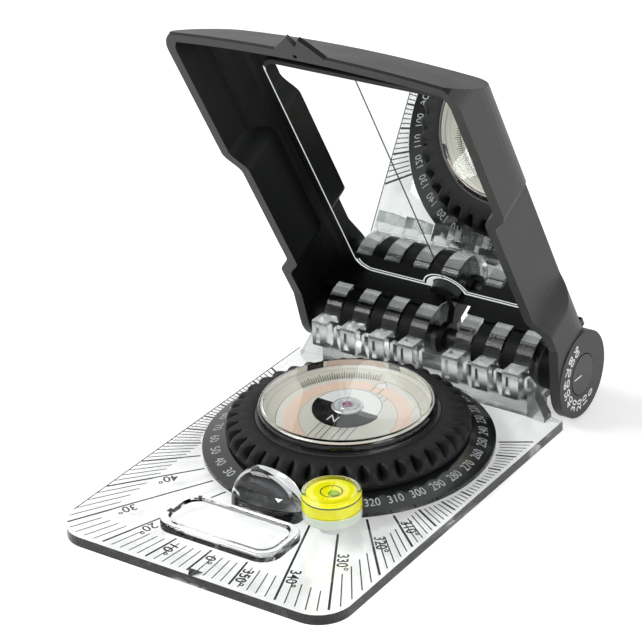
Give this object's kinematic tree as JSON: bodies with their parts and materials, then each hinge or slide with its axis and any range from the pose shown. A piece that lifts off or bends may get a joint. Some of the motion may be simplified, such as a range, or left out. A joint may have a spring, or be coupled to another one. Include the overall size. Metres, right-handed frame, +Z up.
{
  "type": "pocket transit",
  "caption": "Pocket transit: clear protractor plate with a rotating sighting compass, round level and magnifiers, under a hinged mirror lid with a clinometer scale on its arm.",
  "frame": {"origin": "the compass axis where it meets the table, on the flat underside of the base plate", "axes": "+X to the right seen from the front, +Y from the 0 mark back to the hinge, +Z up along the compass axis"},
  "size_m": [0.0824, 0.1272, 0.118],
  "materials": {
    "clear_acrylic": "clear polished moulded acrylic",
    "level_foot": "pale clear moulded plastic",
    "level_body": "clear polished plastic",
    "level_fluid": "bright yellow level fluid",
    "wire": "spring wire",
    "axle": "black moulded rod, satin",
    "end_disc": "grey black composite, satin",
    "washer": "dark friction washer",
    "ring_black": "gloss black with white numbers",
    "grip_rubber": "matte rubber",
    "capsule_cream": "pale cream moulded floor",
    "capsule_clear": "polished clear cover",
    "scale_cream": "cream with fine dark graduations",
    "pin_steel": "polished steel",
    "disc_cream": "cream with a pale salmon band and printed lines",
    "card_white": "white half and black half",
    "magnet": "grey magnet",
    "hub_clear": "clear silvery plastic",
    "jewel": "magenta polished jewel",
    "lid_black": "black glass-filled composite, fine matte texture",
    "mirror": "silvered glass with a pale bevel",
    "backing": "dark adhesive sheet"
  },
  "bodies": {
    "base": {"base_plate": "clear_acrylic", "reading_magnifier": "clear_acrylic", "index_magnifier": "clear_acrylic", "level_seat": "level_foot", "level_vial": "level_body", "level_fluid": "level_fluid", "snap_ring": "wire", "hinge_axle": "axle", "index_disc": "end_disc", "axle_cap": "end_disc", "friction_washers": "washer"},
    "dial": {"numbered_ring": "ring_black", "grip_ring": "grip_rubber", "capsule_base": "capsule_cream", "capsule_cover": "capsule_clear", "scale_ring": "scale_cream", "pivot_pin": "pin_steel"},
    "orienting": {"orienting_disc": "disc_cream"},
    "needle": {"needle_card": "card_white", "needle_magnet": "magnet", "needle_hub": "hub_clear", "hub_jewel": "jewel"},
    "lid": {"lid_shell": "lid_black", "sight_post": "lid_black", "mirror_glass": "mirror", "mirror_backing": "backing"}
  },
  "joints": [
    {"name": "lid_hinge", "type": "hinge", "parent": "base", "child": "lid", "pos_m": [0, 0.0465, 0.0123], "axis": [-1, 0, 0], "range_deg": [-61.66, 118.34]},
    {"name": "dial_turn", "type": "hinge", "parent": "base", "child": "dial", "pos_m": [0, 0, 0.006], "axis": [0, 0, 1], "continuous": true},
    {"name": "declination_turn", "type": "hinge", "parent": "dial", "child": "orienting", "pos_m": [0, 0, 0.0113], "axis": [0, 0, 1], "continuous": true},
    {"name": "needle_swing", "type": "hinge", "parent": "dial", "child": "needle", "pos_m": [0, 0, 0.0135], "axis": [0, 0, 1], "continuous": true}
  ]
}
